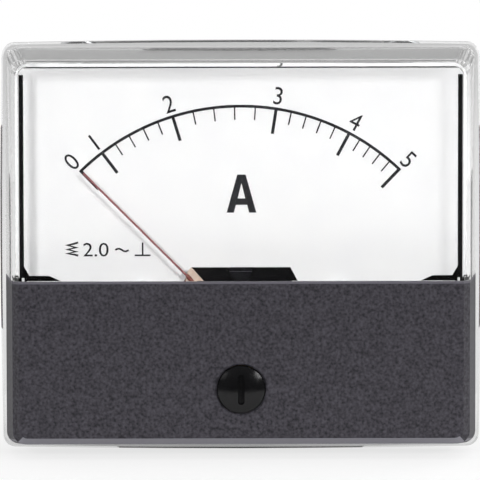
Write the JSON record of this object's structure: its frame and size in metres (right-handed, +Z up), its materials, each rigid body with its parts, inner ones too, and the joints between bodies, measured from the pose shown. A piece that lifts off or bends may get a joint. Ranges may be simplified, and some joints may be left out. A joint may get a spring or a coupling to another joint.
{
  "type": "moving-iron panel ammeter",
  "caption": "Rectangular panel ammeter with a clear drafted cover, dark lower mask, zero adjuster, round barrel, studs and terminals behind.",
  "frame": {"origin": "on the barrel's axis, in the plane of the panel's front face (the back of the cover's lip)", "axes": "+X to the right and +Z up as seen by a reader of the dial; +Y back along the barrel, through the panel"},
  "size_m": [0.0704, 0.0578, 0.06],
  "materials": {
    "clear_plastic": "clear moulded plastic, polished",
    "mask_plastic": "dark grey, finely grained",
    "black_plastic": "black moulded, satin",
    "gloss_black": "black, polished",
    "white_paint": "matt white paint",
    "black_ink": "printed ink",
    "zinc_steel": "bright zinc plate",
    "black_steel": "black oxide",
    "soft_iron": "annealed, dull",
    "brass": "turned",
    "copper_wire": "enamelled copper wire",
    "natural_nylon": "natural nylon",
    "magnet": "sintered ferrite",
    "beige_plastic": "pale beige",
    "needle_paint": "dark red paint",
    "aluminium": "thin rolled sheet"
  },
  "bodies": {
    "meter_body": {"front_cover": "clear_plastic", "lower_mask": "mask_plastic", "base_housing": "black_plastic", "cover_screws": "zinc_steel", "dial_plate": "white_paint", "scale_marks": "black_ink", "dial_screws": "zinc_steel", "movement_frame": "black_plastic", "frame_screws": "zinc_steel", "front_bridge": "brass", "bridge_screws": "zinc_steel", "front_jewel_screw": "brass", "lever_washer": "zinc_steel", "frame_pillars": "zinc_steel", "coil_bobbin": "natural_nylon", "coil_winding": "copper_wire", "coil_lead_left": "copper_wire", "coil_lead_right": "copper_wire", "fixed_iron": "soft_iron", "rear_bridge": "brass", "rear_jewel_screw": "brass", "jewel_lock_nut": "brass", "damping_yoke": "soft_iron", "damping_magnets": "magnet", "yoke_screw": "black_steel", "panel_studs": "zinc_steel", "stud_washers": "zinc_steel", "stud_spring_washers": "zinc_steel", "stud_nuts": "zinc_steel", "terminal_bolts": "brass", "terminal_washers": "brass", "terminal_spring_washers": "zinc_steel", "terminal_nuts": "brass", "solder_tags": "brass"},
    "lever": {"zero_lever": "brass", "hairspring": "brass"},
    "adjuster": {"zero_adjuster": "gloss_black"},
    "pointer": {"pivot_staff": "zinc_steel", "hairspring_collet": "brass", "pointer_arm": "beige_plastic", "pointer_needle": "needle_paint", "balance_weights": "brass", "moving_iron": "soft_iron", "damping_vane": "aluminium"}
  },
  "joints": [
    {"name": "zero_lever_turn", "type": "hinge", "parent": "meter_body", "child": "lever", "pos_m": [0, -0.0115, -0.0127], "axis": [0, 1, 0], "range_deg": [-8.25, 8.25]},
    {"name": "zero_adjust", "type": "hinge", "parent": "meter_body", "child": "adjuster", "pos_m": [0, -0.0138, -0.0198], "axis": [0, 1, 0], "range_deg": [-50, 50]},
    {"name": "pointer_swing", "type": "hinge", "parent": "lever", "child": "pointer", "pos_m": [0, 0, -0.0127], "axis": [0, 1, 0], "range_deg": [-3, 93], "stiffness_Nm_per_rad": 0.00005, "deforming": ["hairspring"]}
  ],
  "couplings": [
    {"joint": "zero_adjust", "follows": "zero_lever_turn", "ratio": 6.06}
  ]
}
